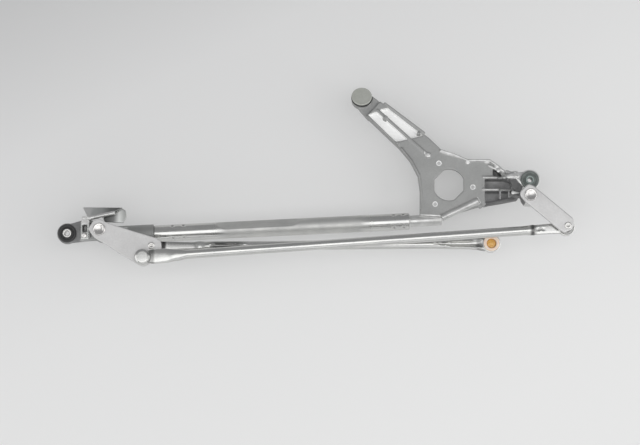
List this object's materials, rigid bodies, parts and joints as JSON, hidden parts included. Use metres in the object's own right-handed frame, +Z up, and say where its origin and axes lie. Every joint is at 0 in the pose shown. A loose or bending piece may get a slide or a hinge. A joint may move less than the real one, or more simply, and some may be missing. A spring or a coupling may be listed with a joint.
{
  "type": "windshield wiper linkage",
  "caption": "Wiper linkage frame: tube and cast bracket carrying two wiper shafts, their cranks, a connecting link and a motor link with ball sockets.",
  "frame": {"origin": "on the left wiper shaft's axis, halfway along its threaded end", "axes": "+X along the frame to the right wiper shaft, +Y away from the cranks' free ends, +Z up: the wiper shafts point down and the cranks and links lie on top"},
  "size_m": [0.6725, 0.2426, 0.1046],
  "materials": {
    "cast_aluminium": "matte as-cast",
    "zinc_steel_tube": "bright zinc plated, satin",
    "plated_plate": "light zinc plated, satin",
    "stay_steel": "zinc plated sheet",
    "hardware_steel": "zinc plated, satin",
    "shaft_steel": "ground steel",
    "disc_steel": "dull grey-green passivated",
    "bush_plastic": "natural acetal",
    "socket_plastic": "natural acetal, pinkish cream",
    "rubber": "matte black",
    "grease": "wet amber grease"
  },
  "bodies": {
    "frame": {"motor_bracket": "cast_aluminium", "frame_tube": "zinc_steel_tube", "left_pivot_housing": "cast_aluminium", "left_stay": "stay_steel", "stay_rivet": "hardware_steel", "left_upper_bush": "bush_plastic", "left_lower_bush": "bush_plastic", "right_upper_bush": "bush_plastic", "right_lower_bush": "bush_plastic", "left_grommet": "rubber", "right_grommet": "rubber", "arm_grommet": "rubber", "left_sleeve": "hardware_steel", "right_sleeve": "hardware_steel", "arm_sleeve": "disc_steel"},
    "left_crank": {"left_crank": "plated_plate", "left_wiper_shaft": "shaft_steel", "left_thrust_washer": "hardware_steel", "left_end_washer": "hardware_steel", "left_retaining_ring": "hardware_steel", "left_shaft_seal": "rubber", "link_ball_stud": "hardware_steel", "drive_ball_stud": "hardware_steel"},
    "right_crank": {"right_crank": "plated_plate", "right_wiper_shaft": "shaft_steel", "right_thrust_washer": "hardware_steel", "right_end_washer": "hardware_steel", "right_retaining_ring": "hardware_steel", "right_shaft_seal": "rubber", "right_ball_stud": "hardware_steel"},
    "connecting_link": {"connecting_link": "zinc_steel_tube", "link_left_socket": "socket_plastic", "link_right_socket": "socket_plastic"},
    "drive_link": {"drive_link": "zinc_steel_tube", "drive_left_socket": "socket_plastic", "drive_free_socket": "socket_plastic", "socket_grease": "grease"}
  },
  "joints": [
    {"name": "left_crank_turn", "type": "hinge", "parent": "frame", "child": "left_crank", "pos_m": [0, 0, 0.072], "axis": [0, 0, 1], "range_deg": [-80, 0]},
    {"name": "right_crank_turn", "type": "hinge", "parent": "frame", "child": "right_crank", "pos_m": [0.559, 0.042, 0.094], "axis": [0, 0, 1], "range_deg": [-88, 0]},
    {"name": "connecting_link_turn", "type": "hinge", "parent": "left_crank", "child": "connecting_link", "pos_m": [0.05767, -0.03788, 0.083], "axis": [0, 0, 1], "range_deg": [0, 82]},
    {"name": "drive_link_turn", "type": "hinge", "parent": "left_crank", "child": "drive_link", "pos_m": [0.06794, -0.02129, 0.062], "axis": [0, 0, 1], "range_deg": [-30, 100]}
  ],
  "couplings": [
    {"joint": "right_crank_turn", "follows": "left_crank_turn", "ratio": 1.098},
    {"joint": "connecting_link_turn", "follows": "left_crank_turn", "ratio": -1.023}
  ]
}
